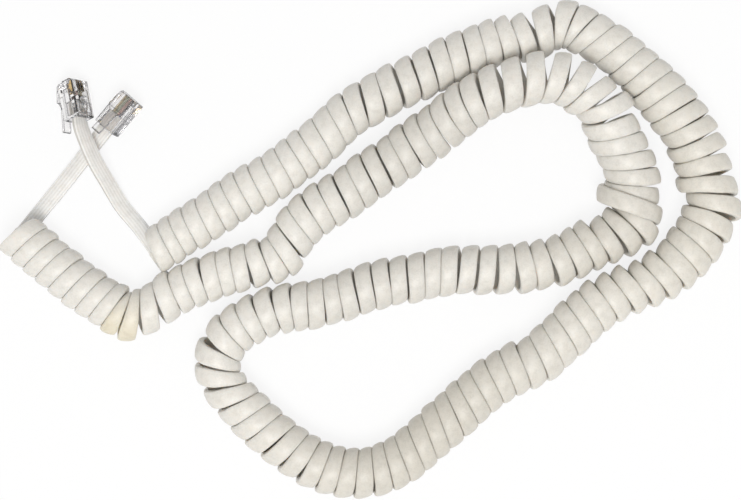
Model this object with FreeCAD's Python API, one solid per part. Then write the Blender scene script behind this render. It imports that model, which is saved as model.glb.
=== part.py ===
import FreeCAD, Part
import math
import os
from bisect import bisect_right
from FreeCAD import Matrix, Placement, Vector

os.makedirs("parts", exist_ok=True)

# A coiled telephone handset cord lying on a table, with a clear modular plug on each end.
# Millimetres. X runs to the right, Y runs away from the viewer and Z runs up from the table.

# Cord: a flat four-conductor cord, wound with its flat side towards the coil's axis
CORD_WIDTH = 5.2
CORD_THICKNESS = 2.5
CORD_EDGE = 0.7
CURLS = 98
TABLE_CUT = 0.5
STRAIGHT_END = 5.0
LAST_RUN = 6.0

# The route of the coil's axis, from the end at lead A to the end at lead B: x, y, lift above the table,
# and the coil's diameter, which is largest where the coil lies loosest
COIL_ROUTE = [
    (-70, 0, 0, 15.5), (-63.5, 4, 0, 15), (-46, 16, 0, 16), (-28, 26, 0, 16),
    (-11, 41, 0, 15.5), (8.5, 54, 0, 16), (30, 64, 0, 16), (52, 71.5, 0, 16),
    (72.5, 71.5, 0, 16), (91.5, 55, 0, 17), (106, 37, 0, 18.5), (112.5, 11.5, 0, 18.5),
    (97.5, -8, 0, 17.5), (75.5, -16.5, 0, 17), (59, -32, 0, 17), (39.5, -42.5, 0, 16.5),
    (24, -56, 0, 16), (6.5, -72, 0, 16.5), (-15.5, -72.5, 0, 16.5), (-36, -57.5, 0, 16),
    (-53.5, -36.5, 0, 15.5), (-38, -20, 0, 16), (-14.5, -17.5, 0, 16), (6, -9.5, 0, 16),
    (28.5, -6, 0, 16), (52.5, -6, 0, 16.5), (75, 2, 0, 17), (87, 15.5, 0, 18),
    (80.5, 37, 2, 18), (65, 58.5, 8.5, 17), (34, 50, 8.5, 16.5), (17, 36.5, 1, 17),
    (-1, 24, 0, 16.5), (-19.5, 12, 0, 16.5), (-33.5, -3.5, 0, 15.5), (-54, -8.5, 0, 15.5),
    (-76, -23, 0, 15.5), (-90, -15, 0, 16), (-107.5, -1, 0, 16), (-114, 5, 0, 16),
]

# Leads: from each plug's cable entry to the coil, the points between the two straight ends
LEAD_A_ROUTE = [(-89.9, 29.2, 8.3), (-85.2, 20.7, 4.2), (-81.7, 14.1, 1.7)]
LEAD_B_ROUTE = [(-95.2, 29.2, 1.3), (-101.5, 21.2, 1.2)]

# Share of a lead's length in which its flat side turns from the plug's lie to the table
TWIST_SHARE = 0.6

# Plugs: where the cable entry's centre is, and how each plug lies, in degrees. Roll turns the contacts' side
# from straight up to the left as seen from the cable.
PLUG_A_ENTRY = (-94.7, 42.4, 8.0)
PLUG_A_LIE = {"heading": 103, "pitch": -14, "roll": -56}
PLUG_B_ENTRY = (-86.5, 39.7, 4.0)
PLUG_B_LIE = {"heading": 49.5, "pitch": 3, "roll": 192}

# The middle of the whole part's box in the route's X and Y. The origin is there, on the table.
ORIGIN_X = -0.049
ORIGIN_Y = -0.499

# Plug housing, in its own axes: x across, y towards the nose from the cable entry, z to the contacts' side
PLUG_WIDTH = 7.65
PLUG_LENGTH = 13.2
PLUG_HEIGHT = 6.6
HOUSING_EDGE = 0.3
NOSE_EDGE = 1.0
NOSE_ROUND = 0.35
NARROW_NOSE = {"length": 1.9, "top": -0.9}
# the lug that holds the latch's hinge: distances back from the nose, and its edge
HINGE_LUG = {"back": 1.7, "foot": 1.4, "edge": 0.1}
GRIP_GROOVE = {"depth": 0.35, "y": (1.2, 10.2), "z": (-1.1, 0.9)}
JACKET_REACH = 6.0
EXIT_RUN = 3.6
CAVITY_CLEARANCE = 0.1
MOUTH_DEPTH = 1.1
MOUTH_FLARE_X = 1.4
MOUTH_FLARE_Z = 1.2
CLAMP_WINDOW = {"x": 2.2, "y": (1.5, 4.9)}
CONDUCTOR_WINDOW = {"x": 1.9, "y": (JACKET_REACH, JACKET_REACH + 1.2), "floor": 0.9}
CLAMP_WIDTH = 4.2
# the clamp bar's side outline: y from the cable entry, and z
CLAMP_OUTLINE = [(4.9, 1.9), (4.9, 2.8), (3.6, 2.8), (1.9, 2.1), (1.9, 0.85), (2.5, 0.85), (3.6, 1.9)]

# Contacts and conductors
CONTACT_PITCH = 1.02
CONTACT_COUNT = 4
CONTACT_THICKNESS = 0.35
SLOT_WIDTH = 0.40
SLOT_REACH = 4.3
# the blade's side outline: distance back from the nose, and z
BLADE_OUTLINE = [
    (4.2, 2.9), (0.55, 2.9), (0.35, 2.7), (0.35, 1.5), (0.7, 1.1), (1.3, 1.1), (1.55, -0.3), (1.85, 0.75),
    (2.3, 0.75), (2.6, -0.3), (2.9, 0.75), (3.4, 0.9), (4.2, 1.5),
]
CONDUCTOR_DIAMETER = 0.92
CORE_DIAMETER = 0.45
CONDUCTOR_END = PLUG_LENGTH - 1.1
CONDUCTOR_COLOURS = ["black", "red", "green", "yellow"]
TUNNEL_RADIUS = CONDUCTOR_DIAMETER / 2 + 0.03
TUNNEL_END = CONDUCTOR_END + 0.1
# a small reach into the neighbouring hollow, so that the two join
JOIN = 0.01
# how far a cut passes beyond the surface that it leaves by
OVERCUT = 1.0

# Latch, hinged at the nose on the side away from the contacts
HINGE_Y = PLUG_LENGTH - 0.8
HINGE_Z = -3.95
ROOT_RADIUS = 0.5
SEAT_CLEARANCE = 0.05
SEAT_LENGTH = 1.5
LATCH_ANGLE = 9.0
LATCH_WIDE = 5.9
LATCH_NARROW = 3.2
# the latch's side outlines: distance back from its hinge, and z
SHOULDER_OUTLINE = [(0, 0.5), (5.2, 0.5), (5.2, -0.9), (4.8, -1.0), (0.6, -0.5), (0, -0.5)]
LEVER_OUTLINE = [
    (1.0, 0.4), (14.3, 0.4), (14.8, 0.1), (14.9, -0.5), (14.3, -0.75), (13.2, -0.5), (1.0, -0.5),
]
# half the lever's plan: half width, and distance back from its hinge
LEVER_PLAN = [(LATCH_WIDE / 2, 0), (LATCH_WIDE / 2, 5.2), (LATCH_NARROW / 2, 6.6), (LATCH_NARROW / 2, 16)]

UP = Vector(0, 0, 1)
ORIGIN = Vector(ORIGIN_X, ORIGIN_Y, 0)
# the curl whose flat is named as the face to rest on
REST_TURN = 30


# Coil axis

AXIS_POINTS = [Vector(x, y, diameter / 2 - TABLE_CUT + lift) for x, y, lift, diameter in COIL_ROUTE]
COIL_RADII = [diameter / 2 for _, _, _, diameter in COIL_ROUTE]
SPANS = len(COIL_ROUTE) - 2
TABLE_STEPS = 4000


def spline_at(values, u):
    """Value, first and second derivative of the quadratic B-spline over the route's points or radii."""
    k = min(int(u), SPANS - 1)
    s = u - k
    before, at, after = values[k], values[k + 1], values[k + 2]
    start = before if k == 0 else (before + at) / 2
    end = after if k == SPANS - 1 else (at + after) / 2
    point = start * (1 - s) ** 2 + at * (2 * s * (1 - s)) + end * s ** 2
    slope = (at - start) * (2 * (1 - s)) + (end - at) * (2 * s)
    bend = (start - at * 2 + end) * 2
    return point, slope, bend


def inside_lengths():
    """Running length along the inside of the axis's bends, so that curls spaced on it never crowd there."""
    rates = []
    for i in range(TABLE_STEPS + 1):
        u = SPANS * i / TABLE_STEPS
        _, slope, bend = spline_at(AXIS_POINTS, u)
        curvature = slope.cross(bend).Length / slope.Length ** 3
        rates.append(slope.Length * (1 - curvature * spline_at(COIL_RADII, u)[0]))
    total = [0.0]
    for i in range(TABLE_STEPS):
        total.append(total[-1] + (rates[i] + rates[i + 1]) / 2)
    return total


INSIDE = inside_lengths()


def axis_parameter(turn):
    """Where on the axis a curl is, counted in turns from the start."""
    wanted = INSIDE[-1] * turn / CURLS
    i = min(max(bisect_right(INSIDE, wanted) - 1, 0), TABLE_STEPS - 1)
    part = (wanted - INSIDE[i]) / (INSIDE[i + 1] - INSIDE[i])
    return SPANS * (i + part) / TABLE_STEPS


# Curls

def curl_point(turn):
    """The cord's centre and the way out from the axis, wound left-handed from turn 0 at the table."""
    u = axis_parameter(turn)
    centre, slope, _ = spline_at(AXIS_POINTS, u)
    along = Vector(slope).normalize()
    left = UP.cross(along).normalize()
    above = along.cross(left)
    angle = math.pi / 2 + 2 * math.pi * turn
    outward = left * math.cos(angle) - above * math.sin(angle)
    return centre + outward * (spline_at(COIL_RADII, u)[0] - CORD_THICKNESS / 2), outward


def curl_station(turn):
    """The cord's centre, direction and outward normal at a turn count."""
    step = 0.002
    centre, outward = curl_point(turn)
    behind, _ = curl_point(max(turn - step, 0))
    ahead, _ = curl_point(min(turn + step, CURLS))
    direction = (ahead - behind).normalize()
    outward = (outward - direction * outward.dot(direction)).normalize()
    return centre, direction, outward


def cord_section(station):
    """The flat cord's section, with chamfered edges, square to the cord."""
    centre, direction, outward = station
    across = direction.cross(outward)
    w, t, e = CORD_WIDTH / 2, CORD_THICKNESS / 2, CORD_EDGE
    corners = [(w, e - t), (w, t - e), (w - e, t), (e - w, t)]
    corners += [(-a, -b) for a, b in corners]
    points = [centre + across * a + outward * b for a, b in corners]
    return Part.makePolygon(points + points[:1])


def section_area():
    return CORD_WIDTH * CORD_THICKNESS - 2 * CORD_EDGE ** 2


def arc_from(start, tangent, end):
    """The arc that leaves start along tangent and reaches end, with its radius."""
    chord = end - start
    half = tangent.getAngle(chord)
    radius = chord.Length / (2 * math.sin(half))
    side = (tangent - chord * (tangent.dot(chord) / chord.Length ** 2)).normalize()
    middle = (start + end) / 2 + side * (radius * (1 - math.cos(half)))
    return Part.Arc(start, middle, end).toShape(), radius


def biarc(first, second):
    """Two arcs in smooth line that join two stations, with their radii."""
    p, t = first[0], first[1]
    q, s = second[0], second[1]
    chord = q - p
    a = 2 * (1 - t.dot(s))
    b = 2 * chord.dot(t + s)
    reach = (math.sqrt(b * b + 4 * a * chord.dot(chord)) - b) / (2 * a)
    joint = (p + t * reach + q - s * reach) / 2
    one, radius_one = arc_from(p, t, joint)
    two, radius_two = arc_from(q, s * -1, joint)
    two = Part.Arc(joint, two.valueAt((two.FirstParameter + two.LastParameter) / 2), q).toShape()
    return [one, two], [radius_one, radius_two]


def sweep(edges, stations):
    """A pipe shell along the edges, through the cord's section at each station."""
    pipe = Part.BRepOffsetAPI.MakePipeShell(Part.Wire(edges))
    for station in stations:
        pipe.add(cord_section(station))
    pipe.build()
    pipe.makeSolid()
    return pipe.shape()


def report_tube(name, solid, edges, radii):
    length = sum(edge.Length for edge in edges)
    print(name, "length %.1f, radii %.1f to %.1f" % (length, min(radii), max(radii)))
    print(name, "volume %.0f, section times length %.0f" % (solid.Volume, section_area() * length))


def flat_on_table(shape):
    """Cuts away what lies below the table."""
    box = shape.BoundBox
    size = (box.XLength + 2 * OVERCUT, box.YLength + 2 * OVERCUT, OVERCUT)
    below = Part.makeBox(*size, Vector(box.XMin - OVERCUT, box.YMin - OVERCUT, -OVERCUT))
    return shape.cut(below).Solids[0]


def make_coil():
    """Each half turn is a biarc, and each end runs straight before it meets its lead."""
    stations = [curl_station(half / 2) for half in range(2 * CURLS + 1)]
    edges, radii = [], []
    for first, second in zip(stations, stations[1:]):
        pair, pair_radii = biarc(first, second)
        edges += pair
        radii += pair_radii
    start, end = stations[0], stations[-1]
    entry = (start[0] - start[1] * STRAIGHT_END, start[1], start[2])
    leave = (end[0] + end[1] * STRAIGHT_END, end[1], end[2])
    edges.insert(0, Part.LineSegment(entry[0], start[0]).toShape())
    edges.append(Part.LineSegment(end[0], leave[0]).toShape())
    whole = sweep(edges, [entry] + stations + [leave])
    report_tube("coiled_cord", whole, edges, radii)
    return flat_on_table(whole), entry, leave


def least_gap():
    """The least gap between curls, from points on each section's outline to the sections of other curls."""
    per_turn, reach = 24, 9.0
    w, t = CORD_WIDTH / 2, CORD_THICKNESS / 2
    outline = [(w, t), (w, 0), (w, -t), (0, -t), (-w, -t), (-w, 0), (-w, t), (0, t)]
    frames = []
    cells = {}
    for i in range(CURLS * per_turn + 1):
        centre, direction, outward = curl_station(i / per_turn)
        frames.append((centre, direction, outward, direction.cross(outward)))
        key = (int(centre.x // reach), int(centre.y // reach), int(centre.z // reach))
        cells.setdefault(key, []).append(i)
    half_spacing = math.pi * max(COIL_RADII) / per_turn
    least, where = reach, 0
    for (x, y, z), members in cells.items():
        near = []
        for dx in (-1, 0, 1):
            for dy in (-1, 0, 1):
                for dz in (-1, 0, 1):
                    near += cells.get((x + dx, y + dy, z + dz), [])
        for i in members:
            centre, _, outward, across = frames[i]
            others = [j for j in near if abs(i - j) > per_turn / 2]
            others = [j for j in others if (frames[j][0] - centre).Length < reach]
            for a, b in outline:
                point = centre + across * a + outward * b
                for j in others:
                    offset = point - frames[j][0]
                    if abs(offset.dot(frames[j][1])) > half_spacing:
                        continue
                    aside = max(abs(offset.dot(frames[j][3])) - w, 0)
                    outside = max(abs(offset.dot(frames[j][2])) - t, 0)
                    if math.hypot(aside, outside) < least:
                        least, where = math.hypot(aside, outside), i / per_turn
    return least, where


# Leads

def rounded_path(points):
    """Straight runs joined by tangent arcs, each as large as its two runs allow."""
    edges, radii = [], []
    at = points[0]
    for before, corner, after in zip(points, points[1:], points[2:]):
        way_in = (corner - before).normalize()
        way_out = (after - corner).normalize()
        half_turn = way_in.getAngle(way_out) / 2
        tangent = 0.45 * min((corner - before).Length, (after - corner).Length)
        radius = tangent / math.tan(half_turn)
        radii.append(radius)
        first = corner - way_in * tangent
        last = corner + way_out * tangent
        inward = (way_out - way_in).normalize()
        middle = corner + inward * (radius / math.cos(half_turn) - radius)
        edges.append(Part.LineSegment(at, first).toShape())
        edges.append(Part.Arc(first, middle, last).toShape())
        at = last
    edges.append(Part.LineSegment(at, points[-1]).toShape())
    return edges, radii


def make_lead(name, points, start_up, end_up):
    """A lead whose flat side turns steadily from the plug's lie to the table."""
    edges, radii = rounded_path(points)
    total = sum(edge.Length for edge in edges)
    stations = []
    gone = 0.0
    for edge in edges:
        direction = edge.tangentAt(edge.FirstParameter)
        stations.append((edge.valueAt(edge.FirstParameter), direction, gone / total))
        gone += edge.Length
    last = edges[-1]
    stations.append((last.valueAt(last.LastParameter), last.tangentAt(last.LastParameter), 1.0))
    framed = []
    for centre, direction, gone_share in stations:
        share = min(gone_share / TWIST_SHARE, 1.0)
        face = start_up * (1 - share) + end_up * share
        face = (face - direction * face.dot(direction)).normalize()
        framed.append((centre, direction, face))
    lead = sweep(edges, framed)
    report_tube(name, lead, edges, radii)
    return flat_on_table(lead)


# Plug

def block(x, y, z):
    """A box from ranges along x, y and z."""
    return Part.makeBox(x[1] - x[0], y[1] - y[0], z[1] - z[0], Vector(x[0], y[0], z[0]))


def slab(outline, width, centre_x=0.0):
    """A side outline of y and z points, as thick as width across x."""
    points = [Vector(centre_x - width / 2, y, z) for y, z in outline]
    return Part.Face(Part.makePolygon(points + points[:1])).extrude(Vector(width, 0, 0))


def rod(radius, length, start, direction):
    return Part.makeCylinder(radius, length, Vector(*start), Vector(*direction))


def contact_places():
    middle = (CONTACT_COUNT - 1) / 2
    return [(i - middle) * CONTACT_PITCH for i in range(CONTACT_COUNT)]


def chamfer_where(shape, size, test):
    """Chamfers the straight edges whose two ends pass the test."""
    edges = [e for e in shape.Edges if len(e.Vertexes) == 2 and all(test(v.Point) for v in e.Vertexes)]
    return shape.makeChamfer(size, edges)


def make_contact(x):
    """A flat gold blade with a round nose and two teeth that pierce the conductor under it."""
    return slab([(PLUG_LENGTH - back, z) for back, z in BLADE_OUTLINE], CONTACT_THICKNESS, x)


def make_conductor(x, blade):
    """One insulated conductor from the jacket's end to the nose, and its tinsel core."""
    start = (x, JACKET_REACH, 0)
    length = CONDUCTOR_END - JACKET_REACH
    core = rod(CORE_DIAMETER / 2, length, start, (0, 1, 0))
    insulation = rod(CONDUCTOR_DIAMETER / 2, length, start, (0, 1, 0)).cut(core)
    return insulation.cut(blade), core.cut(blade)


def rectangle(width, height, y):
    w, h = width / 2, height / 2
    corners = [Vector(-w, y, -h), Vector(w, y, -h), Vector(w, y, h), Vector(-w, y, h)]
    return Part.makePolygon(corners + corners[:1])


def housing_block():
    """The housing's outside: a deep body with a nose that reaches down to the latch's hinge."""
    half = PLUG_WIDTH / 2
    top = PLUG_HEIGHT / 2
    nose = PLUG_LENGTH
    edge = HINGE_LUG["edge"]
    side = [
        (0, -top), (nose - HINGE_LUG["back"], -top), (nose - HINGE_LUG["foot"], HINGE_Z),
        (nose - edge, HINGE_Z), (nose, HINGE_Z + edge), (nose, top - NOSE_EDGE),
        (nose - NOSE_ROUND, top - NOSE_ROUND), (nose - NOSE_EDGE, top), (0, top),
    ]
    body = slab(side, PLUG_WIDTH)
    for sign in (-1, 1):
        beside_latch = sorted((sign * LATCH_WIDE / 2, sign * (half + OVERCUT)))
        narrow = (nose - NARROW_NOSE["length"], nose + OVERCUT)
        body = body.cut(block(beside_latch, narrow, (-top - OVERCUT, NARROW_NOSE["top"])))
        beside_wall = sorted((sign * (half - GRIP_GROOVE["depth"]), sign * (half + OVERCUT)))
        body = body.cut(block(beside_wall, GRIP_GROOVE["y"], GRIP_GROOVE["z"]))

    def at_corner(point):
        return abs(abs(point.x) - half) < 1e-6 and abs(abs(point.z) - top) < 1e-6

    return chamfer_where(body, HOUSING_EDGE, at_corner)


def cable_cavity():
    """The jacket's hole, with a flared mouth."""
    width = CORD_WIDTH + 2 * CAVITY_CLEARANCE
    height = CORD_THICKNESS + 2 * CAVITY_CLEARANCE
    cavity = block((-width / 2, width / 2), (-OVERCUT, JACKET_REACH), (-height / 2, height / 2))
    wide = rectangle(width + MOUTH_FLARE_X, height + MOUTH_FLARE_Z, 0)
    return cavity.fuse(Part.makeLoft([wide, rectangle(width, height, MOUTH_DEPTH)], True, True))


def conductor_tunnel():
    """The room for the four conductors, side by side."""
    places = contact_places()
    start = JACKET_REACH - JOIN
    tunnel = block((places[0], places[-1]), (start, TUNNEL_END), (-TUNNEL_RADIUS, TUNNEL_RADIUS))
    for x in (places[0], places[-1]):
        tunnel = tunnel.fuse(rod(TUNNEL_RADIUS, TUNNEL_END - start, (x, start, 0), (0, 1, 0)))
    return tunnel


def latch_seat():
    """The round seat that the latch's root turns in, open towards the cable."""
    half = PLUG_WIDTH / 2
    radius = ROOT_RADIUS + SEAT_CLEARANCE
    seat = rod(radius, PLUG_WIDTH + 2 * OVERCUT, (-half - OVERCUT, HINGE_Y, HINGE_Z), (1, 0, 0))
    behind = block((-half, half), (HINGE_Y - SEAT_LENGTH, HINGE_Y), (HINGE_Z - OVERCUT, HINGE_Z + radius))
    return seat.fuse(behind)


def make_housing():
    """The clear moulded housing, with its cable cavity, clamp bar, contact slots and latch seat."""
    over = PLUG_HEIGHT / 2 + OVERCUT
    front = (PLUG_LENGTH - SLOT_REACH, PLUG_LENGTH + OVERCUT)
    housing = housing_block().cut(cable_cavity())
    # the bar that is pressed down on the jacket, hinged to the wall in front of its window
    window = block((-CLAMP_WINDOW["x"], CLAMP_WINDOW["x"]), CLAMP_WINDOW["y"], (0, over))
    housing = housing.cut(window).fuse(slab(CLAMP_OUTLINE, CLAMP_WIDTH))
    width = CONDUCTOR_WINDOW["x"]
    housing = housing.cut(block((-width, width), CONDUCTOR_WINDOW["y"], (CONDUCTOR_WINDOW["floor"], over)))
    housing = housing.cut(conductor_tunnel())
    for x in contact_places():
        housing = housing.cut(block((x - SLOT_WIDTH / 2, x + SLOT_WIDTH / 2), front, (0, over)))
    return housing.cut(latch_seat()).removeSplitter().Solids[0]


def make_latch():
    """The locking latch: a wide part with two locking shoulders that tapers to a narrow finger lever."""
    plan = [(x, -back) for x, back in LEVER_PLAN]
    plan += [(-x, y) for x, y in reversed(plan)]
    corners = [Vector(x, y, -OVERCUT) for x, y in plan]
    taper = Part.Face(Part.makePolygon(corners + corners[:1])).extrude(Vector(0, 0, 2 * OVERCUT))
    lever = slab([(-back, z) for back, z in LEVER_OUTLINE], LATCH_WIDE).common(taper)
    shoulder = slab([(-back, z) for back, z in SHOULDER_OUTLINE], LATCH_WIDE)
    root = rod(ROOT_RADIUS, LATCH_WIDE, (-LATCH_WIDE / 2, 0, 0), (1, 0, 0))
    latch = shoulder.fuse(root).fuse(lever).removeSplitter()
    latch.Placement = Placement(Vector(0, HINGE_Y, HINGE_Z), FreeCAD.Rotation(Vector(1, 0, 0), LATCH_ANGLE))
    return latch.Solids[0]


def plug_axes(lie):
    """The plug's own x, y and z axes in the row's axes."""
    heading = math.radians(lie["heading"])
    pitch = math.radians(lie["pitch"])
    roll = math.radians(lie["roll"])
    nose = Vector(math.cos(heading) * math.cos(pitch), math.sin(heading) * math.cos(pitch), math.sin(pitch))
    level = nose.cross(UP).normalize()
    above = level.cross(nose)
    contacts = above * math.cos(roll) - level * math.sin(roll)
    return nose.cross(contacts), nose, contacts


def plug_placement(entry, lie):
    rows = zip(*plug_axes(lie), entry)
    return Placement(Matrix(*[value for row in rows for value in row], 0, 0, 0, 1))


def make_plug(letter, placement):
    """All the pieces of one plug, by node name."""
    pieces = {"housing": make_housing(), "latch": make_latch()}
    cores = []
    for i, x in enumerate(contact_places()):
        blade = make_contact(x)
        insulation, core = make_conductor(x, blade)
        pieces["contact_%d" % (i + 1)] = blade
        pieces["conductor_" + CONDUCTOR_COLOURS[i]] = insulation
        cores.append(core)
    pieces["wire_cores"] = Part.makeCompound(cores)
    placed = {}
    for name, piece in pieces.items():
        piece.Placement = placement.multiply(piece.Placement)
        placed["plug_%s_%s" % (letter, name)] = piece
    return placed


def lead_points(placement, middle, meeting, outwards):
    """The lead's route: out of the plug along its axis, through its points, and straight into the coil."""
    inside = placement.multVec(Vector(0, JACKET_REACH, 0))
    exit_point = placement.multVec(Vector(0, -EXIT_RUN, 0))
    last_corner = meeting + outwards * LAST_RUN
    return [inside, exit_point] + [Vector(*p) for p in middle] + [last_corner, meeting]


def in_metres(point):
    return "(%.6f, %.6f, %.6f)" % (point.x / 1000, point.y / 1000, point.z / 1000)


def report_plug(letter, placement):
    """The latch's hinge and the plug's nose, for the joint and the mount."""
    turn = placement.Rotation
    hinge = placement.multVec(Vector(0, HINGE_Y, HINGE_Z)) - ORIGIN
    nose = placement.multVec(Vector(0, PLUG_LENGTH, 0)) - ORIGIN
    press = turn.multVec(Vector(-1, 0, 0))
    ahead = turn.multVec(Vector(0, 1, 0))
    print("plug", letter, "hinge at", in_metres(hinge), "axis (%.6f, %.6f, %.6f)" % tuple(press))
    print("plug", letter, "nose at", in_metres(nose), "axis (%.6f, %.6f, %.6f)" % tuple(ahead))


def build():
    nodes = {}
    coil, entry, leave = make_coil()
    nodes["coiled_cord"] = coil
    print("least gap between curls %.2f, at turn %.1f" % least_gap())
    rest = curl_point(REST_TURN)[0] - ORIGIN
    print("flat under turn", REST_TURN, "at", in_metres(Vector(rest.x, rest.y, 0)))
    ends = {
        "a": (PLUG_A_ENTRY, PLUG_A_LIE, LEAD_A_ROUTE, entry, -1),
        "b": (PLUG_B_ENTRY, PLUG_B_LIE, LEAD_B_ROUTE, leave, 1),
    }
    for letter, (place, lie, middle, meeting, sign) in ends.items():
        placement = plug_placement(place, lie)
        report_plug(letter, placement)
        plug = make_plug(letter, placement)
        points = lead_points(placement, middle, meeting[0], meeting[1] * sign)
        contacts_up = plug_axes(lie)[2]
        face = contacts_up if contacts_up.z > 0 else contacts_up * -1
        lead = make_lead("lead_" + letter, points, face, UP)
        nodes["lead_" + letter] = lead.cut(plug["plug_%s_housing" % letter]).Solids[0]
        nodes.update(plug)
    return nodes


def true_box(shapes):
    boxes = [shape.optimalBoundingBox(True, False) for shape in shapes]
    lows = [min(getattr(box, side) for box in boxes) for side in ("XMin", "YMin", "ZMin")]
    highs = [max(getattr(box, side) for box in boxes) for side in ("XMax", "YMax", "ZMax")]
    return lows, highs


model = build()
for node, shape in model.items():
    shape.translate(ORIGIN * -1)
    assert shape.isValid(), node
    print(node, "solids %d, volume %.1f" % (len(shape.Solids), shape.Volume))
    shape.exportStep("parts/%s.step" % node)

low, high = true_box(model.values())
print("box from", low, "to", high)
print("box middle is off the origin by %.3f, %.3f" % ((low[0] + high[0]) / 2, (low[1] + high[1]) / 2))
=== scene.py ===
import math

import bpy
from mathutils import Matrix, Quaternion, Vector


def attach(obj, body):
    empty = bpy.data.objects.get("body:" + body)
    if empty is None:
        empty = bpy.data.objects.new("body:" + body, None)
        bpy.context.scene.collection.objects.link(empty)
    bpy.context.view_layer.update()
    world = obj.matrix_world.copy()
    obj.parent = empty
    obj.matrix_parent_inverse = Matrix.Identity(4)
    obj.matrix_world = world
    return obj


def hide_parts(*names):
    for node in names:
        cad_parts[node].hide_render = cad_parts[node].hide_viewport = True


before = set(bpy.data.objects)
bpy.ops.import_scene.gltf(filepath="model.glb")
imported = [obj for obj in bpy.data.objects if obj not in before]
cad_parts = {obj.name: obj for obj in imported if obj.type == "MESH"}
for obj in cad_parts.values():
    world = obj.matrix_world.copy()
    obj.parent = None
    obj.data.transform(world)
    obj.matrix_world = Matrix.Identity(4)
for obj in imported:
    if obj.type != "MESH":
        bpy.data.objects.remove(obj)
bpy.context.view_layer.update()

# A coiled telephone handset cord lying on a table, with a clear modular plug on each end.
# Lengths are written in millimetres and turned into metres by MM.
MM = 0.001
UP = Vector((0, 0, 1))

# The middle of the whole part's box, in the routes' X and Y
ORIGIN = Vector((-0.049, -0.499, 0)) * MM

# The flat cord, wound with its flat side towards the coil's axis
CORD_WIDTH = 5.2 * MM
CORD_THICKNESS = 2.5 * MM
# How much the table flattens the undersides of the curls
TABLE_CUT = 0.5 * MM
# The thin line left between two touching curls, and the least half width that a crowded curl keeps
LINE = 0.01 * MM
LEAST_HALF_WIDTH = 0.3 * MM
# How far the cord rolls at the coil's two sides, in degrees, so that its curls lie a little like tiles
ROLL = 7.5

# The cord's section is a rounded oblong, as thick as twice EDGE at its edges, whose flat sides bulge evenly
# from them. Its four conductors raise four faint ridges on the leads, which fade within RIDGE_FADE curls of
# the coil. Each pair is a share of the half width, and 1 where there is a valley between ridges.
EDGE = 0.5 * MM
BULGE = 2.2
ACROSS = [
    (1, 0), (0.985, 0), (0.93, 0), (0.85, 0), (0.75, 1), (0.5625, 0), (0.375, 1), (0.1875, 0), (0, 1),
]
LEAD_RIDGE = 0.2 * MM
COIL_RIDGE = 0.01 * MM
RIDGE_FADE = 0.5
# How much fuller the outer face of a curl is
CROWN = 0.15 * MM

# Curls on each span of the route, and rings of the mesh for each curl
CURLS_PER_SPAN = 4
RINGS_PER_CURL = 30

# The route of the coil's axis, from the end at lead A to the end at lead B: x, y, lift above the table,
# and the coil's diameter, which is largest where the coil lies loosest
COIL_ROUTE = [
    (-70, 0, 0, 15.5), (-63.5, 4, 0, 15), (-46, 16, 0, 16), (-28, 26, 0, 16),
    (-11, 41, 0, 15.5), (8.5, 54, 0, 16), (30, 64, 0, 16), (52, 71.5, 0, 16),
    (72.5, 71.5, 0, 16), (91.5, 55, 0, 17), (106, 37, 0, 18.5), (112.5, 11.5, 0, 18.5),
    (97.5, -8, 0, 17.5), (75.5, -16.5, 0, 17), (59, -32, 0, 17), (39.5, -42.5, 0, 16.5),
    (24, -56, 0, 16), (6.5, -72, 0, 16.5), (-15.5, -72.5, 0, 16.5), (-36, -57.5, 0, 16),
    (-53.5, -36.5, 0, 15.5), (-38, -20, 0, 16), (-14.5, -17.5, 0, 16), (6, -9.5, 0, 16),
    (28.5, -6, 0, 16), (52.5, -6, 0, 16.5), (75, 2, 0, 17), (87, 15.5, 0, 18),
    (80.5, 37, 2, 18), (65, 58.5, 8.5, 17), (34, 50, 8.5, 16.5), (17, 36.5, 1, 17),
    (-1, 24, 0, 16.5), (-19.5, 12, 0, 16.5), (-33.5, -3.5, 0, 15.5), (-54, -8.5, 0, 15.5),
    (-76, -23, 0, 15.5), (-90, -15, 0, 16), (-107.5, -1, 0, 16), (-114, 5, 0, 16),
]

CURLS = (len(COIL_ROUTE) - 2) * CURLS_PER_SPAN
# Places along the coil are counted in curls, whose tops are at the whole numbers
COIL_START = -0.5
COIL_END = CURLS - 0.5

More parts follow.
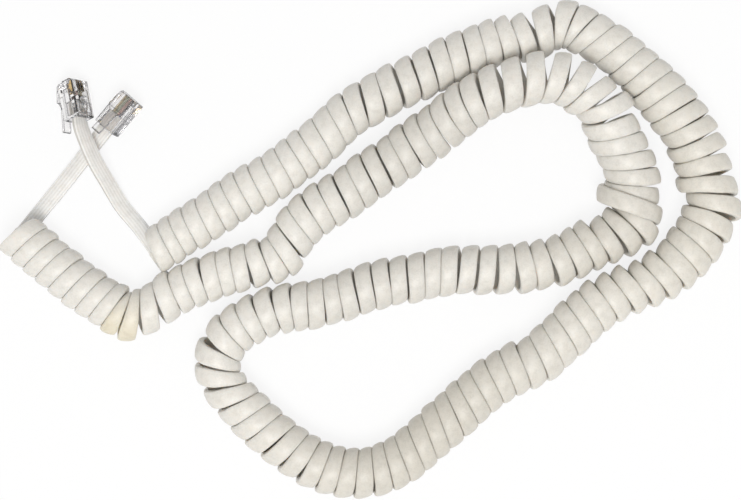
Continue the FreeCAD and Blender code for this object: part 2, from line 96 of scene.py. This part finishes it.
# Curls that lie unlike their neighbours. Each row has the curl's number and how many curls to each side of
# it move with it, then its shift along the axis and to the left of it, its larger radius, how far its left
# side leans ahead, its lift, and 1 if it lies over its neighbours, which is so from LYING_OVER on.
LYING_OVER = 0.3
NUDGES = [
    (4, 2.2, 0.6, -0.3, 0, 0, 0, 0),
    (7, 3, 0, 0, 0, -6, 0, 0),
    (12, 1.4, -1.6, -0.5, 0, 0, 0, 0),
    (14.5, 1.6, -0.9, 0.7, 0, 0, 0, 0),
    (15.5, 2, -0.5, 0, 0, 12, 0, 0),
    (18.8, 1.8, 0.2, -0.7, 0, 0, 0, 0),
    (21, 5, 1.0, -0.2, 0, 0, 0, 0),
    (25.5, 2, 0, -1.6, 0, -13, 0, 0),
    (25.5, 4, 0, 0, 0, -9, 0, 0),
    (27, 2.4, 2.5, 2.1, 0, 3, 0, 0),
    (28.3, 2, 0, 0, 0, 5, 0, 0),
    (28.8, 3.2, 0, 0, 0, 24, 0, 0),
    (30.3, 2.2, 1.8, 0, 0, 0, 0, 0),
    (32, 4, 1.7, -0.3, -0.3, 0, 0, 0),
    (34.5, 2.5, 0, -0.3, 0.4, 0, 0, 0),
    (36, 3.5, 0.8, -0.2, 0, 0, 0, 0),
    (38, 2.5, 0.3, -0.3, 0, -7, 0, 0),
    (39.7, 1.2, 0, -0.8, 0, 0, 0, 0),
    (41, 1.2, -0.3, 1.6, 0, 0, 0, 0),
    (44.8, 1.8, -0.4, 0.3, 0, -3, 0, 0),
    (48.2, 2.8, 0, -0.5, 0, 0, 0, 0),
    (47.5, 4, -0.5, 0, 0, -23, 0, 0),
    (50.7, 2.6, 0, -0.7, 0, 0, 0, 0),
    (52, 3.5, -0.8, 0, 0, 0, 0, 0),
    (54.5, 1.6, -0.3, 1.1, 0, 0, 0, 0),
    (61.5, 4, 0, 0, 0.4, 0, 0, 0),
    (62, 4, 0.8, 0.2, 0, 17, 0, 0),
    (67, 2.5, 0, 0.5, 0, 0, 0, 0),
    (70, 2.5, -0.4, 0, 0, -6, 0, 0),
    (73, 3, -1.2, 0.1, 0, 0, 0, 0),
    (75.5, 2.4, -2.0, 0, 0, 0, 0, 0),
    (76.8, 3, -1.5, 0.4, 0, 9, 0, 0),
    (79.5, 1.5, 1.5, 0.4, 0, 0, 0, 0),
    (82.5, 2.6, 1.0, -0.2, 0, -10, 0, 0),
    (84, 0.8, 0.2, 0, 0, 0, 0, 0),
    (87, 0.8, -0.7, 0, 0, 0, 0, 0),
    (91, 2.2, 0.1, -0.9, 0, 0, 0, 0),
    (93, 0.8, -0.5, 0, 0, 0, 0, 0),
    (95.5, 2, 0, -0.5, 0, 0, 0, 0),
    (96.5, 1.8, 0.7, 0, 0, -5, 0, 0),
    (99.5, 5, 0.5, -0.3, 0, -15, 0, 0),
    (101, 1.6, -0.2, 0.7, 0, 0, 0, 0),
    (102.5, 1.4, 0, -1.8, 0, 0, 0, 0),
    (103.6, 1.6, 2.0, 0, 0, 0, 0, 0),
    (104, 1.1, -0.6, -4.2, 0, 0, 0, 0),
    (105, 0.9, 0.4, 0.8, 2.2, 0, 0, 1),
    (107.5, 1.6, 0, -0.8, 0, 0, 0, 0),
    (108.8, 2.8, 0, 0.3, 0, 8, 0, 0),
    (111, 1.2, 0.4, -1.6, 0, 0, 0, 0),
    (112.2, 1.7, 0.7, 1.0, 0, 0, 0, 0),
    (114.6, 2.2, 1.1, 0, 0, 0, 0, 0),
    (118.5, 1.6, -0.5, 0, 0, 0, 0, 0),
    (120.7, 4, -1.8, 1.0, 0, 0, 0, 0),
    (121, 0.8, 0.5, 0.2, 0, 0, 0, 0),
    (122, 0.8, -0.3, -0.3, 0.2, 0, 0, 0),
    (123, 0.8, -0.1, -0.3, 0.2, 0, 0, 0),
    (124, 0.8, -0.5, 0.3, -0.2, 0, 0, 0),
    (125, 0.8, 0.3, 0, 0, 0, 0, 0),
    (126, 0.8, 0.3, -0.2, 0.2, 0, 0, 0),
    (125.5, 4, -0.9, 0.5, 0, 0, 0, 0),
    (127.3, 2, 0, 0.5, 0, 0, 0, 0),
    (132.5, 1.7, 1.3, 2.4, 0, 0, 0, 0),
    (133.5, 1.5, -0.3, 0.5, 0, 0, 0, 0),
    (135, 1.6, 1.4, 0.4, 0, 0, 0, 0),
    (138.3, 1.8, 0.6, 0, 0, 0, 0, 0),
    (139.8, 2.4, -2.6, -0.7, 0, 0, 0, 0),
    (142.5, 1.3, 0.4, 1.4, 0, 0, 0, 0),
    (140, 1.3, 0, -0.5, 0, 0, 0, 0),
    (143, 2.4, -0.1, 0, 0.4, 6, 0, 0),
    (145.4, 1.2, 0.4, 0, 0, 0, 0, 0),
    (147.5, 4, 0.8, 0.3, 0, 0, 0, 0),
    (151, 1.4, 0.8, 0, 0, 0, 0, 0),
]

# Where the bottoms of the curls have slid behind their tops, as they do on the outside of a bend: curl, how
# many curls it takes to fade out, and half how far, in millimetres
SLUMPS = [
    (37.7, 3.2, 0.85), (106, 2, -0.9), (108, 2, -0.7), (110, 2, -0.3), (112.4, 2, 0.35), (114.6, 1.9, -0.35),
    (116.5, 2.2, -0.6),
]

# How unevenly all curls lie: shift along, shift to the left, radius, in millimetres, and lean in degrees.
# Two waves make it, and UNEVEN_PACE is how far each goes in a curl, in radians.
UNEVEN = {"along": 0.2, "left": 0.2, "radius": 0.15, "lean": 1.5}
UNEVEN_PACE = (2.3, 0.9)

# The cord is soft, and where it has room it lies flatter and wider. On the coil it is wider by GIVE, and by
# more or less in places: curl, how many curls it takes to fade out, and how much wider, in millimetres
GIVE = 0.5
FLATTER = [
    (12.6, 1.6, 2.0), (20, 6, -0.2), (28.5, 2.5, 1.2), (31.5, 4, 0.8), (37.5, 3, -0.3), (46, 7, 0.7),
    (53, 7, 0.4), (72, 7, 0.1), (78, 6, 0.4), (85, 5, -0.4), (90, 5, -0.4), (95, 4, -0.4), (106.5, 3, -0.3),
    (109.5, 1, 1.2), (110, 4, -0.3), (113, 3, -0.3), (115.7, 1.6, 0.5), (121.5, 5, -0.5), (126.5, 5, -0.5),
]

# How far the jacket has greyed and yellowed with age: on the coil, on the leads, and by how much more in
# places: curl, how many curls it takes to fade out, grey and yellow. Painted shade greys the leads'
# grooves and edges.
COIL_AGE = (0.4, 0.2)
LEAD_AGE = (0.25, 0.0)
AGED = [
    (18, 8, 0.12, 0.0), (42, 16, 0.12, 0.15), (63, 16, 0.35, 0.15), (88, 10, 0.15, 0.0), (102, 9, 0.25, 0.1),
    (122, 10, 0.25, 0.0), (142.6, 2.4, 0.0, 0.1), (142.25, 0.5, 0.0, 0.7), (143.25, 0.5, 0.0, 0.8),
]
# Painted shade: how much the leads' grooves and edges are greyed.
GROOVE_PAINTED_SHADE = 0.3
EDGE_PAINTED_SHADE = 0.6

# Leads: from each plug's cable entry to the coil, the points between the two straight ends
LEAD_A_ROUTE = [(-89.9, 29.2, 8.3), (-85.2, 20.7, 4.2), (-81.7, 14.1, 1.7)]
LEAD_B_ROUTE = [(-95.2, 29.2, 1.3), (-101.5, 21.2, 1.2)]
# How far a lead reaches into its plug and how far it runs straight out of it, its straight run at the coil
# and the run before that, in millimetres, and the points of its line for each control point
JACKET_REACH = 6.0
EXIT_RUN = 3.6
STRAIGHT_END = 5.0
LAST_RUN = 6.0
LEAD_STEPS = 16
# Where along each lead, as shares of its length, its flat side turns from the plug's lie to the coil's, and
# how far it rolls on at the lead's middle, in degrees
LEAD_A_TWIST = {"start": 0.45, "end": 0.95, "roll": 28}
LEAD_B_TWIST = {"start": 0, "end": 0.6, "roll": 0}

# Plugs: where the cable entry's centre is, and how each plug lies, in degrees
PLUG_A_ENTRY = (-94.7, 42.4, 8.0)
PLUG_A_LIE = {"heading": 103, "pitch": -14, "roll": -56}
PLUG_B_ENTRY = (-86.5, 39.7, 4.0)
PLUG_B_LIE = {"heading": 49.5, "pitch": 3, "roll": 192}

# The photograph's frame, taken from straight above the middle of the coil, and the camera's film width
PHOTO_WIDTH = 741
PIXELS_PER_MM = 3.1
COIL_TOP = 13 * MM
CAMERA_ABOVE_COIL = 600 * MM
SENSOR = 36.0

# Plastics and metals: how uneven the jacket's tone is for its finest specks, how far a metal's roughness
# varies, and how dark the insulation's darkest places are
SPECKS = 0.8
METAL_UNEVENNESS = 0.08
DARK_SHARE = 0.8
INSULATION = {
    "black": (0.24, 0.21, 0.2), "red": (0.64, 0.42, 0.36),
    "green": (0.55, 0.58, 0.44), "yellow": (0.8, 0.68, 0.42),
}

# Stage, in metres: the floor's half size, how much of it is plain white to the eye, so that the rest keeps
# the object's shadow, and where the lamp hangs
FLOOR_HALF = 1.5
FLOOR_WHITE = 0.85
LAMP_PLACE = Vector((0.0, -0.42, 1.15))


# Routes

def in_frame(point):
    """A point of a route, in metres in the part's frame."""
    return Vector(point) * MM - ORIGIN


def spline_points(name, controls, steps):
    """The points of a smooth curve over the controls, evenly spaced in its parameter."""
    curve = bpy.data.curves.new(name, "CURVE")
    curve.dimensions = "3D"
    spline = curve.splines.new("NURBS")
    spline.points.add(len(controls) - 1)
    for point, control in zip(spline.points, controls):
        point.co = (*control, 1)
    spline.order_u = 3
    spline.use_endpoint_u = True
    spline.resolution_u = steps
    line = bpy.data.objects.new(name, curve)
    bpy.context.scene.collection.objects.link(line)
    bpy.context.view_layer.update()
    mesh = bpy.data.meshes.new_from_object(line)
    points = [v.co.copy() for v in mesh.vertices]
    bpy.data.meshes.remove(mesh)
    bpy.data.objects.remove(line)
    bpy.data.curves.remove(curve)
    return points


def directions(points):
    """The direction along a row of points, at each."""
    ahead = points[1:] + points[-1:]
    behind = points[:1] + points[:-1]
    return [(b - a).normalized() for a, b in zip(behind, ahead)]


def coil_axis():
    """The points of the coil's axis, as many for each curl. The axis lies higher where the coil is wider."""
    lifted = [(x, y, diameter / 2 + lift - TABLE_CUT / MM) for x, y, lift, diameter in COIL_ROUTE]
    fine = spline_points("coil_axis", [in_frame(p) for p in lifted], RINGS_PER_CURL * CURLS_PER_SPAN)
    rings = CURLS * RINGS_PER_CURL
    axis = []
    for i in range(rings + 1):
        place = (len(fine) - 1) * i / rings
        k = min(int(place), len(fine) - 2)
        axis.append(fine[k].lerp(fine[k + 1], place - k))
    return axis


def blend(values, u):
    """A value on the same quadratic spline as the axis, over one value for each point of the route."""
    spans = len(values) - 2
    k = min(int(u), spans - 1)
    s = u - k
    at = values[k + 1]
    start = values[k] if k == 0 else (values[k] + at) / 2
    end = values[k + 2] if k == spans - 1 else (at + values[k + 2]) / 2
    return start * (1 - s) ** 2 + at * 2 * s * (1 - s) + end * s ** 2


def bell(distance, reach):
    """One at no distance, and smoothly down to none at the reach."""
    return math.cos(math.pi / 2 * distance / reach) ** 2 if abs(distance) < reach else 0.0


def total(rows, curl):
    """What rows of curl, reach and amount add up to at a curl."""
    return sum(amount * bell(curl - centre, reach) for centre, reach, amount in rows)


def on_coil(curl):
    return COIL_START <= curl <= COIL_END


def nudge(curl):
    """How the cord departs from an even coil: along, left, radius, lean, lift, and whether it lies over."""
    shift = [0.0] * 6
    for centre, reach, *amounts in NUDGES:
        share = bell(curl - centre, reach)
        shift = [old + share * amount for old, amount in zip(shift, amounts)]
    fast, slow = UNEVEN_PACE
    for i, key in enumerate(("along", "left", "radius", "lean")):
        shift[i] += UNEVEN[key] * math.sin(curl * fast + i) * math.cos(curl * slow + 2 * i)
    return shift


def helix():
    """The cord's line through the curls, the way out from the coil's axis, and where it lies over itself."""
    axis = coil_axis()
    diameters = [diameter for _, _, _, diameter in COIL_ROUTE]
    points, outwards, over = [], [], []
    for i, (centre, ahead) in enumerate(zip(axis, directions(axis))):
        turn = i / RINGS_PER_CURL
        curl = turn + COIL_START
        along, aside, wider, lean, lift, lies_over = nudge(curl)
        left = UP.cross(ahead).normalized()
        above = ahead.cross(left)
        angle = math.pi / 2 + 2 * math.pi * turn
        slump = -(1 + math.sin(angle)) * total(SLUMPS, curl)
        centre = centre + (ahead * (along + slump) + left * aside + UP * lift) * MM
        radius = (blend(diameters, turn / CURLS_PER_SPAN) / 2 + wider) * MM - CORD_THICKNESS / 2 - CROWN
        lean = math.radians(lean)
        outward = (left * math.cos(lean) + ahead * math.sin(lean)) * math.cos(angle) - above * math.sin(angle)
        points.append(centre + outward * radius)
        roll = math.radians(ROLL) * math.cos(angle)
        outwards.append(outward * math.cos(roll) - ahead * math.sin(roll))
        over.append(lies_over > LYING_OVER)
    return points, outwards, over


def plug_axes(lie):
    """The plug's own x, y and z axes. Its y points to the nose and its z to the contacts' side."""
    heading, pitch, roll = (math.radians(lie[key]) for key in ("heading", "pitch", "roll"))
    nose = Vector((math.cos(heading) * math.cos(pitch), math.sin(heading) * math.cos(pitch), math.sin(pitch)))
    level = nose.cross(UP).normalized()
    above = level.cross(nose)
    contacts = above * math.cos(roll) - level * math.sin(roll)
    return nose.cross(contacts), nose, contacts


def lead(name, entry, lie, middle, twist, coil_end, outwards, coil_face):
    """A lead's points from inside its plug to the coil, with the way its flat side faces."""
    _, nose, contacts = plug_axes(lie)
    start = in_frame(entry)
    straight = coil_end + outwards * STRAIGHT_END * MM
    controls = [start + nose * JACKET_REACH * MM, start, start - nose * EXIT_RUN * MM]
    controls += [in_frame(p) for p in middle]
    controls += [straight + outwards * LAST_RUN * MM, straight, coil_end]
    points = spline_points(name, controls, LEAD_STEPS)
    face = contacts if contacts.dot(coil_face) > 0 else -contacts
    faces = []
    for i, along in enumerate(directions(points)):
        way = i / (len(points) - 1)
        share = min(max((way - twist["start"]) / (twist["end"] - twist["start"]), 0), 1)
        rolled = Quaternion(along, math.radians(twist["roll"]) * math.sin(math.pi * way)) @ face
        turned = rolled.lerp(coil_face, share)
        faces.append((turned - along * turned.dot(along)).normalized())
    return points, faces


def whole_cord():
    """The whole cord from inside plug A to inside plug B: its line and facing, where it lies over itself, and
    its place counted in curls."""
    coil, outwards, over = helix()
    start_way = (coil[0] - coil[1]).normalized()
    end_way = (coil[-1] - coil[-2]).normalized()
    a, a_faces = lead("lead_a_line", PLUG_A_ENTRY, PLUG_A_LIE, LEAD_A_ROUTE, LEAD_A_TWIST,
                      coil[0], start_way, outwards[0])
    b, b_faces = lead("lead_b_line", PLUG_B_ENTRY, PLUG_B_LIE, LEAD_B_ROUTE, LEAD_B_TWIST,
                      coil[-1], end_way, outwards[-1])
    points = a[:-1] + coil + b[-2::-1]
    faces = a_faces[:-1] + outwards + b_faces[-2::-1]
    over = [False] * (len(a) - 1) + over + [False] * (len(b) - 1)
    curls = [(i - len(a) + 1) / RINGS_PER_CURL + COIL_START for i in range(len(points))]
    return points, faces, over, curls


# The cord's mesh

def section(straight):
    """Points round the cord's section, as the share of the half width across and the distance out. It is a
    curl's where straight is 0 and the leads' where it is 1."""
    bulge = CORD_THICKNESS / 2 - EDGE
    ridge = COIL_RIDGE + (LEAD_RIDGE - COIL_RIDGE) * straight
    outer, inner = [], []
    for share, valley in ACROSS:
        shape = (1 - share ** BULGE) ** (1 / BULGE)
        outer.append((share, EDGE + (bulge + CROWN * (1 - straight)) * shape - ridge * valley))
        inner.append((share, -EDGE - bulge * shape + ridge * valley))
    return (outer + [(-x, y) for x, y in reversed(outer[:-1])]
            + [(-x, y) for x, y in inner] + [(x, y) for x, y in reversed(inner[:-1])])


def section_painted_shade():
    """How much painted shade greys the leads at each point round the section: at its edges and in the
    valleys.
    """
    marks = [EDGE_PAINTED_SHADE if share == 1 else GROOVE_PAINTED_SHADE * valley for share, valley in ACROSS]
    return 2 * (marks + marks[-2::-1])


def half_widths(points, sides, over, curls, coil):
    """Half the width on each side at each place: less where curls crowd, so that they don't overlap."""
    ahead = [CORD_WIDTH / 2] * len(points)
    for i in coil:
        ahead[i] += (GIVE + total(FLATTER, curls[i])) * MM / 2
    behind = list(ahead)
    for i in coil:
        j = i + RINGS_PER_CURL
        if j not in coil or over[i] or over[j]:
            continue
        step = points[j] - points[i]
        room = min(step.dot(sides[i]), step.dot(sides[j])) - LINE
        half = max(room / 2, LEAST_HALF_WIDTH)
        ahead[i] = min(ahead[i], half)
        behind[j] = min(behind[j], half)
    return ahead, behind


def cord_mesh(name, points, faces, over, curls):
    """The cord as one closed tube, flat where it lies on the table."""
    ways = directions(points)
    outs = [(face - way * face.dot(way)).normalized() for face, way in zip(faces, ways)]
    sides = [way.cross(out) for way, out in zip(ways, outs)]
    wound = [i for i, curl in enumerate(curls) if on_coil(curl)]
    ahead, behind = half_widths(points, sides, over, curls, range(wound[0], wound[-1] + 1))
    around = len(section(0))
    verts, quads = [], []
    for i, point in enumerate(points):
        outside = max(COIL_START - curls[i], curls[i] - COIL_END, 0)
        for share, out in section(min(outside / RIDGE_FADE, 1)):
            half = ahead[i] if share > 0 else behind[i]
            place = point + sides[i] * share * half + outs[i] * out
            place.z = max(place.z, 0)
            verts.append(place)
    for i in range(len(points) - 1):
        for j in range(around):
            k = (j + 1) % around
            quads.append((i * around + j, i * around + k, (i + 1) * around + k, (i + 1) * around + j))
    last = (len(points) - 1) * around
    quads.append(tuple(range(around)))
    quads.append(tuple(last + j for j in reversed(range(around))))
    mesh = bpy.data.meshes.new(name)
    mesh.from_pydata(verts, [], quads)
    mesh.update()
    mesh.shade_smooth()
    keep_age_and_painted_shade(mesh, curls, around)
    piece = bpy.data.objects.new(name, mesh)
    bpy.context.scene.collection.objects.link(piece)
    return piece


def keep_age_and_painted_shade(mesh, curls, around):
    """Writes how far the jacket has greyed and yellowed at each point, for its material. On the leads the
    grey also holds painted shade in the grooves and at the edges.
    """
    grey = mesh.attributes.new("grey", "FLOAT", "POINT")
    yellow = mesh.attributes.new("yellow", "FLOAT", "POINT")
    painted_shade = section_painted_shade()
    for i, curl in enumerate(curls):
        wound = on_coil(curl)
        greyed, yellowed = COIL_AGE if wound else LEAD_AGE
        for centre, reach, more_grey, more_yellow in AGED:
            share = bell(curl - centre, reach)
            greyed += share * more_grey
            yellowed += share * more_yellow
        for j in range(around):
            # On the leads, painted shade greys the grooves and edges.
            grey.data[i * around + j].value = greyed if wound else greyed + painted_shade[j]
            yellow.data[i * around + j].value = yellowed


# Materials

def new_material(name):
    """A new material, with its nodes, links and shader."""
    material = bpy.data.materials.new(name)
    material.use_nodes = True
    nodes = material.node_tree.nodes
    return material, nodes, material.node_tree.links, nodes["Principled BSDF"]


def noise(nodes, links, coordinates, scale, detail):
    """A noise texture in object coordinates, in metres."""
    texture = nodes.new("ShaderNodeTexNoise")
    texture.inputs["Scale"].default_value = scale
    texture.inputs["Detail"].default_value = detail
    links.new(coordinates.outputs["Object"], texture.inputs["Vector"])
    return texture.outputs["Fac"]


def ramp(nodes, links, source, low, high, start=0.3, end=0.7):
    """A colour between two colours, by where a value lies between start and end."""
    node = nodes.new("ShaderNodeValToRGB")
    node.color_ramp.elements[0].position = start
    node.color_ramp.elements[1].position = end
    node.color_ramp.elements[0].color = (*low, 1)
    node.color_ramp.elements[1].color = (*high, 1)
    links.new(source, node.inputs["Fac"])
    return node.outputs["Color"]


def bump(nodes, links, source, shader, strength, distance):
    """Makes a surface a little uneven by a value."""
    node = nodes.new("ShaderNodeBump")
    node.inputs["Strength"].default_value = strength
    node.inputs["Distance"].default_value = distance
    links.new(source, node.inputs["Height"])
    links.new(node.outputs["Normal"], shader.inputs["Normal"])


def vary_gloss(nodes, links, source, shader, low, high):
    """Varies a surface's roughness between low and high by a value."""
    gloss = nodes.new("ShaderNodeMapRange")
    gloss.inputs["To Min"].default_value = low
    gloss.inputs["To Max"].default_value = high
    links.new(source, gloss.inputs["Value"])
    links.new(gloss.outputs["Result"], shader.inputs["Roughness"])


def multiply(nodes, links, source):
    """A node that multiplies a colour by its second one."""
    mix = nodes.new("ShaderNodeMix")
    mix.data_type = "RGBA"
    mix.blend_type = "MULTIPLY"
    links.new(source, mix.inputs["A"])
    return mix


def tint(nodes, links, source, name, tinted):
    """Tints a colour by a share that the mesh keeps."""
    share = nodes.new("ShaderNodeAttribute")
    share.attribute_name = name
    mix = multiply(nodes, links, source)
    links.new(share.outputs["Fac"], mix.inputs["Factor"])
    mix.inputs["B"].default_value = (*tinted, 1)
    return mix.outputs["Result"]


def math_node(nodes, operation):
    node = nodes.new("ShaderNodeMath")
    node.operation = operation
    return node


def jacket_material():
    """White soft plastic, greyed and yellowed by age, with painted shade greying the leads' grooves and
    edges, soft patches and a fine uneven gloss.
    """
    material, nodes, links, shader = new_material("jacket_plastic")
    place = nodes.new("ShaderNodeTexCoord")
    patches = noise(nodes, links, place, scale=450, detail=3)
    specks = noise(nodes, links, place, scale=2000, detail=5)
    uneven = math_node(nodes, "MULTIPLY_ADD")
    uneven.inputs[1].default_value = SPECKS
    links.new(specks, uneven.inputs[0])
    links.new(patches, uneven.inputs[2])
    tone = ramp(nodes, links, uneven.outputs[0], low=(0.84, 0.83, 0.805), high=(0.94, 0.93, 0.91),
                start=0.65, end=1.0)
    # The grey share holds age and, on the leads, painted shade in the grooves and at the edges.
    greyed = tint(nodes, links, tone, "grey", (0.62, 0.605, 0.575))
    aged = tint(nodes, links, greyed, "yellow", (0.94, 0.88, 0.72))
    links.new(aged, shader.inputs["Base Color"])
    grain = noise(nodes, links, place, scale=900, detail=4)
    vary_gloss(nodes, links, grain, shader, low=0.36, high=0.5)
    shader.inputs["Subsurface Weight"].default_value = 0.6
    shader.inputs["Subsurface Radius"].default_value = (1.0, 0.9, 0.8)
    shader.inputs["Subsurface Scale"].default_value = 2.0 * MM
    bump(nodes, links, grain, shader, strength=0.25, distance=0.1 * MM)
    return material


def clear_material():
    """Clear hard plastic, with painted shade darkening its corners and its walls seen edge on."""
    material, nodes, links, shader = new_material("clear_plastic")
    shader.inputs["Transmission Weight"].default_value = 1.0
    shader.inputs["IOR"].default_value = 1.45
    place = nodes.new("ShaderNodeTexCoord")
    smears = noise(nodes, links, place, scale=400, detail=2)
    # Painted shade: the colour darkens where a wall is seen edge on.
    facing = nodes.new("ShaderNodeLayerWeight")
    tone = ramp(nodes, links, facing.outputs["Facing"], low=(0.98, 0.97, 0.965), high=(0.08, 0.08, 0.1),
                start=0.35, end=0.75)
    # Painted shade: the colour darkens at the corners, where the rounded normal parts from the flat one.
    rounded = nodes.new("ShaderNodeBevel")
    rounded.inputs["Radius"].default_value = 0.7 * MM
    flat = nodes.new("ShaderNodeNewGeometry")
    bend = nodes.new("ShaderNodeVectorMath")
    bend.operation = "DOT_PRODUCT"
    links.new(rounded.outputs["Normal"], bend.inputs[0])
    links.new(flat.outputs["Normal"], bend.inputs[1])
    corners = ramp(nodes, links, bend.outputs["Value"], low=(0.12, 0.12, 0.13), high=(1, 1, 1),
                   start=0.75, end=0.98)
    mix = multiply(nodes, links, tone)
    mix.inputs["Factor"].default_value = 1.0
    links.new(corners, mix.inputs["B"])
    links.new(mix.outputs["Result"], shader.inputs["Base Color"])
    vary_gloss(nodes, links, smears, shader, low=0.02, high=0.08)
    return material


def metal_material(name, low, high, roughness):
    """A metal whose colour and gloss vary finely."""
    material, nodes, links, shader = new_material(name)
    shader.inputs["Metallic"].default_value = 1.0
    place = nodes.new("ShaderNodeTexCoord")
    wear = noise(nodes, links, place, scale=1500, detail=3)
    links.new(ramp(nodes, links, wear, low, high), shader.inputs["Base Color"])
    vary_gloss(nodes, links, wear, shader, roughness - METAL_UNEVENNESS, roughness + METAL_UNEVENNESS)
    bump(nodes, links, wear, shader, strength=0.2, distance=0.02 * MM)
    return material


def insulation_material(name, colour):
    """A conductor's coloured insulation, finely mottled."""
    material, nodes, links, shader = new_material(name)
    place = nodes.new("ShaderNodeTexCoord")
    mottle = noise(nodes, links, place, scale=1200, detail=2)
    darker = tuple(c * DARK_SHARE for c in colour)
    links.new(ramp(nodes, links, mottle, darker, colour), shader.inputs["Base Color"])
    shader.inputs["Roughness"].default_value = 0.4
    bump(nodes, links, mottle, shader, strength=0.15, distance=0.03 * MM)
    return material


def dress_plugs():
    """The carried-over plug pieces get their finished materials."""
    clear = clear_material()
    gold = metal_material("contact_gold", low=(0.80, 0.56, 0.22), high=(0.88, 0.66, 0.32), roughness=0.28)
    copper = metal_material("tinsel_copper", low=(0.70, 0.40, 0.24), high=(0.80, 0.50, 0.32), roughness=0.35)
    colours = {key: insulation_material("insulation_" + key, value) for key, value in INSULATION.items()}
    for name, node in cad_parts.items():
        if not name.startswith("plug_"):
            continue
        kind = name[len("plug_a_"):]
        if kind in ("housing", "latch"):
            material = clear
        elif kind.startswith("contact"):
            material = gold
        elif kind == "wire_cores":
            material = copper
        else:
            material = colours[kind[len("conductor_"):]]
        node.data.materials.clear()
        node.data.materials.append(material)


# Stage

def white_for_eye(nodes, links, lit, white, output, share):
    """Mixes plain white over a lit shader for the rays that see the background, and for no others."""
    path = nodes.new("ShaderNodeLightPath")
    seen = path.outputs["Is Camera Ray"]
    for ray in ("Is Glossy Ray", "Is Transmission Ray"):
        either = math_node(nodes, "MAXIMUM")
        links.new(seen, either.inputs[0])
        links.new(path.outputs[ray], either.inputs[1])
        seen = either.outputs[0]
    scaled = math_node(nodes, "MULTIPLY")
    scaled.inputs[1].default_value = share
    links.new(seen, scaled.inputs[0])
    mix = nodes.new("ShaderNodeMixShader")
    links.new(scaled.outputs[0], mix.inputs["Fac"])
    links.new(lit, mix.inputs[1])
    links.new(white, mix.inputs[2])
    links.new(mix.outputs[0], output)


def make_floor():
    """A white floor that keeps a soft shadow."""
    half = FLOOR_HALF
    mesh = bpy.data.meshes.new("floor")
    corners = [(-half, -half, 0), (half, -half, 0), (half, half, 0), (-half, half, 0)]
    mesh.from_pydata(corners, [], [(0, 1, 2, 3)])
    floor = bpy.data.objects.new("floor", mesh)
    bpy.context.scene.collection.objects.link(floor)
    material, nodes, links, shader = new_material("floor_white")
    shader.inputs["Base Color"].default_value = (0.9, 0.9, 0.9, 1)
    shader.inputs["Roughness"].default_value = 0.8
    shader.inputs["Specular IOR Level"].default_value = 0.0
    glow = nodes.new("ShaderNodeEmission")
    glow.inputs["Strength"].default_value = 1.0
    output = nodes["Material Output"].inputs["Surface"]
    white_for_eye(nodes, links, shader.outputs[0], glow.outputs[0], output, FLOOR_WHITE)
    mesh.materials.append(material)


def make_world():
    """Plain soft light from all round."""
    world = bpy.data.worlds.new("studio")
    bpy.context.scene.world = world
    world.use_nodes = True
    nodes, links = world.node_tree.nodes, world.node_tree.links
    nodes["Background"].inputs["Strength"].default_value = 0.55
    nodes["Background"].inputs["Color"].default_value = (1.0, 1.0, 1.0, 1)
    pale = nodes.new("ShaderNodeBackground")
    pale.inputs["Strength"].default_value = 1.0
    output = nodes["World Output"].inputs["Surface"]
    white_for_eye(nodes, links, nodes["Background"].outputs[0], pale.outputs[0], output, 1.0)


def make_lamp():
    """One large soft lamp above the near side, aimed at the middle of the part."""
    data = bpy.data.lights.new("ceiling", "AREA")
    data.size = 0.5
    data.energy = 9.0
    data.color = (1.0, 0.99, 0.98)
    lamp = bpy.data.objects.new("ceiling", data)
    lamp.location = LAMP_PLACE
    lamp.rotation_mode = "QUATERNION"
    lamp.rotation_quaternion = (-LAMP_PLACE).to_track_quat("-Z", "Y")
    bpy.context.scene.collection.objects.link(lamp)


def make_camera():
    data = bpy.data.cameras.new("camera")
    data.sensor_width = SENSOR
    data.lens = SENSOR * CAMERA_ABOVE_COIL / (PHOTO_WIDTH / PIXELS_PER_MM * MM)
    data.clip_start = 0.05
    data.clip_end = 10
    camera = bpy.data.objects.new("camera", data)
    camera.location = in_frame((0, 0, 0)) + UP * (COIL_TOP + CAMERA_ABOVE_COIL)
    bpy.context.scene.collection.objects.link(camera)
    bpy.context.scene.camera = camera


# Assembly

def make_cord():
    """The wound cord with its two leads, in place of the source's three solids of it."""
    points, faces, over, curls = whole_cord()
    cord = cord_mesh("handset_cord", points, faces, over, curls)
    cord.data.materials.append(jacket_material())
    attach(cord, "cord")
    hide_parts("coiled_cord", "lead_a", "lead_b")


make_cord()
dress_plugs()
make_floor()
make_world()
make_lamp()
make_camera()
bpy.context.scene.view_settings.view_transform = "Standard"
